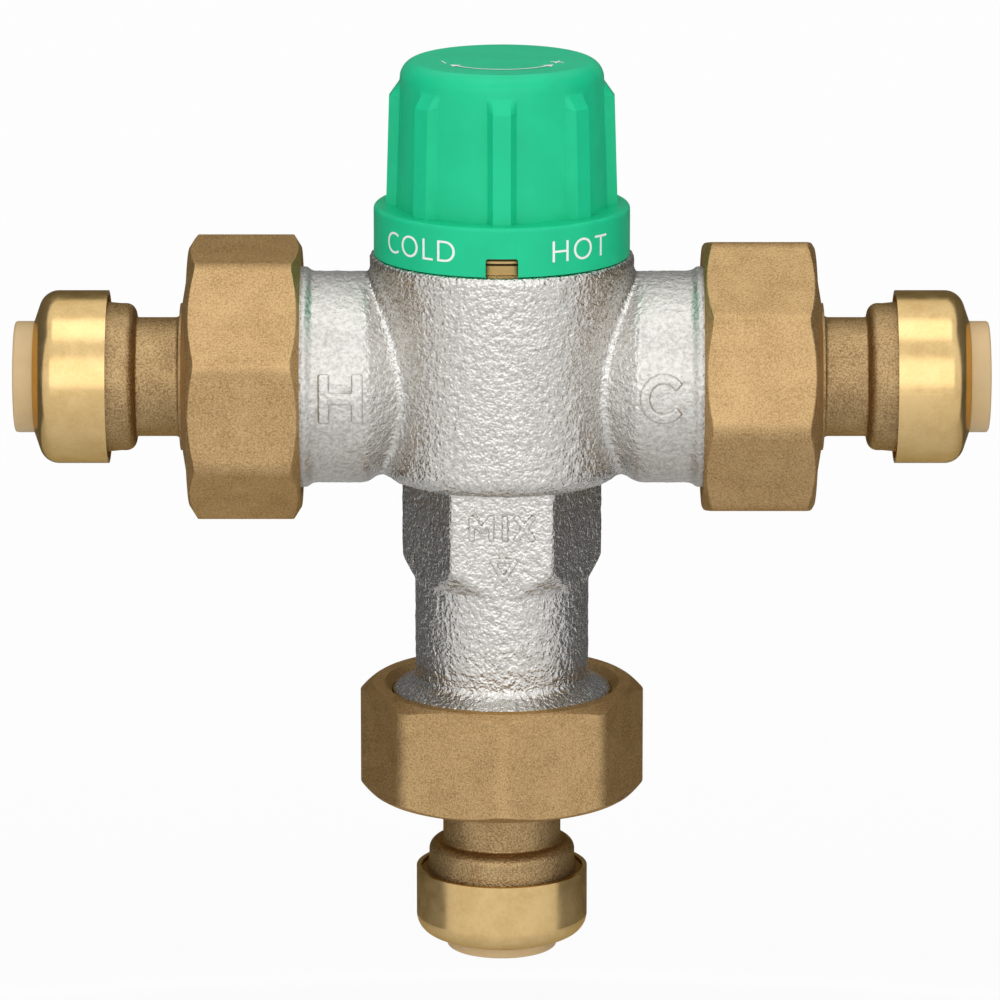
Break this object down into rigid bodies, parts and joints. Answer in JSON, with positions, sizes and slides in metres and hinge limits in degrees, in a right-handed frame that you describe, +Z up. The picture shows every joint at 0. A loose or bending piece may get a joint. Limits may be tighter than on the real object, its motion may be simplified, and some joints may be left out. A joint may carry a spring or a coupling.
{
  "type": "water mixing valve",
  "caption": "Tempering valve that mixes hot and cold water to a set warmth, with push-fit union ports left, right and below and a green adjusting cap on top.",
  "frame": {"origin": "centre of the tube stop in the mixed outlet, where the tube's end bears", "axes": "+X to the cold inlet, -X to the hot inlet, -Y to the front, +Z up to the cap; the outlet leaves along -Z"},
  "size_m": [0.1586, 0.0466, 0.149],
  "materials": {
    "plated_body": "nickel plated, sand-cast skin",
    "bonnet_brass": "turned brass",
    "nut_brass": "tumbled matt brass",
    "tail_brass": "forged, matt",
    "sleeve_brass": "polished",
    "collet_plastic": "moulded, satin",
    "green_cap": "moulded, satin",
    "inner_plastic": "moulded",
    "seal_rubber": "rubber",
    "spring_steel": "stainless",
    "element_copper": "copper",
    "washer_fibre": "fibre"
  },
  "bodies": {
    "valve": {"valve_body": "plated_body", "bonnet": "bonnet_brass", "bonnet_seal": "seal_rubber", "return_spring": "spring_steel", "hot_tail": "tail_brass", "hot_sleeve": "sleeve_brass", "hot_grip_ring": "spring_steel", "hot_tube_seal": "seal_rubber", "hot_seal_spacer": "inner_plastic", "hot_washer": "washer_fibre", "cold_tail": "tail_brass", "cold_sleeve": "sleeve_brass", "cold_grip_ring": "spring_steel", "cold_tube_seal": "seal_rubber", "cold_seal_spacer": "inner_plastic", "cold_washer": "washer_fibre", "outlet_tail": "tail_brass", "outlet_sleeve": "sleeve_brass", "outlet_grip_ring": "spring_steel", "outlet_tube_seal": "seal_rubber", "outlet_seal_spacer": "inner_plastic", "outlet_washer": "washer_fibre", "hot_check_body": "inner_plastic", "hot_check_spring": "spring_steel", "hot_strainer": "spring_steel", "cold_check_body": "inner_plastic", "cold_check_spring": "spring_steel", "cold_strainer": "spring_steel"},
    "cap": {"cap": "green_cap"},
    "spindle": {"spindle": "bonnet_brass", "spindle_seal": "seal_rubber", "spindle_clip": "spring_steel"},
    "adjuster": {"pusher": "bonnet_brass", "overload_spring": "spring_steel", "overload_cup": "bonnet_brass", "push_rod": "spring_steel"},
    "mixing_piston": {"piston": "inner_plastic", "piston_seal": "seal_rubber", "wax_element": "element_copper"},
    "hot_union_nut": {"hot_nut": "nut_brass"},
    "cold_union_nut": {"cold_nut": "nut_brass"},
    "outlet_union_nut": {"outlet_nut": "nut_brass"},
    "hot_release": {"hot_collet": "collet_plastic"},
    "cold_release": {"cold_collet": "collet_plastic"},
    "outlet_release": {"outlet_collet": "collet_plastic"},
    "hot_check": {"hot_check_poppet": "inner_plastic", "hot_check_seal": "seal_rubber"},
    "cold_check": {"cold_check_poppet": "inner_plastic", "cold_check_seal": "seal_rubber"}
  },
  "joints": [
    {"name": "cap_lift", "type": "slide", "parent": "valve", "child": "cap", "axis": [0, 0, 1], "range_m": [0, 0.03]},
    {"name": "spindle_turn", "type": "hinge", "parent": "valve", "child": "spindle", "pos_m": [0, 0, 0.0731], "axis": [0, 0, 1], "range_deg": [-180, 180]},
    {"name": "adjuster_slide", "type": "slide", "parent": "valve", "child": "adjuster", "axis": [0, 0, 1], "range_m": [-0.00075, 0.00075]},
    {"name": "piston_slide", "type": "slide", "parent": "adjuster", "child": "mixing_piston", "axis": [0, 0, 1], "range_m": [-0.0006, 0.0006], "stiffness_N_per_m": 2000, "deforming": ["return_spring"]},
    {"name": "hot_nut_turn", "type": "hinge", "parent": "valve", "child": "hot_union_nut", "pos_m": [0, 0, 0.0731], "axis": [-1, 0, 0], "range_deg": [0, 1260]},
    {"name": "cold_nut_turn", "type": "hinge", "parent": "valve", "child": "cold_union_nut", "pos_m": [0, 0, 0.0731], "axis": [1, 0, 0], "range_deg": [0, 1260]},
    {"name": "outlet_nut_turn", "type": "hinge", "parent": "valve", "child": "outlet_union_nut", "pos_m": [0, 0, 0], "axis": [0, 0, -1], "range_deg": [0, 1260]},
    {"name": "hot_collet_push", "type": "slide", "parent": "valve", "child": "hot_release", "axis": [1, 0, 0], "range_m": [0, 0.002]},
    {"name": "cold_collet_push", "type": "slide", "parent": "valve", "child": "cold_release", "axis": [-1, 0, 0], "range_m": [0, 0.002]},
    {"name": "outlet_collet_push", "type": "slide", "parent": "valve", "child": "outlet_release", "axis": [0, 0, 1], "range_m": [-0.0016, 0.0004]},
    {"name": "hot_check_open", "type": "slide", "parent": "valve", "child": "hot_check", "axis": [1, 0, 0], "range_m": [0, 0.0035], "stiffness_N_per_m": 60, "springref_m": -0.006, "deforming": ["hot_check_spring"]},
    {"name": "cold_check_open", "type": "slide", "parent": "valve", "child": "cold_check", "axis": [-1, 0, 0], "range_m": [0, 0.0035], "stiffness_N_per_m": 60, "springref_m": -0.006, "deforming": ["cold_check_spring"]}
  ],
  "couplings": [
    {"joint": "spindle_turn", "follows": "adjuster_slide", "rad_per_m": 4188.7}
  ]
}
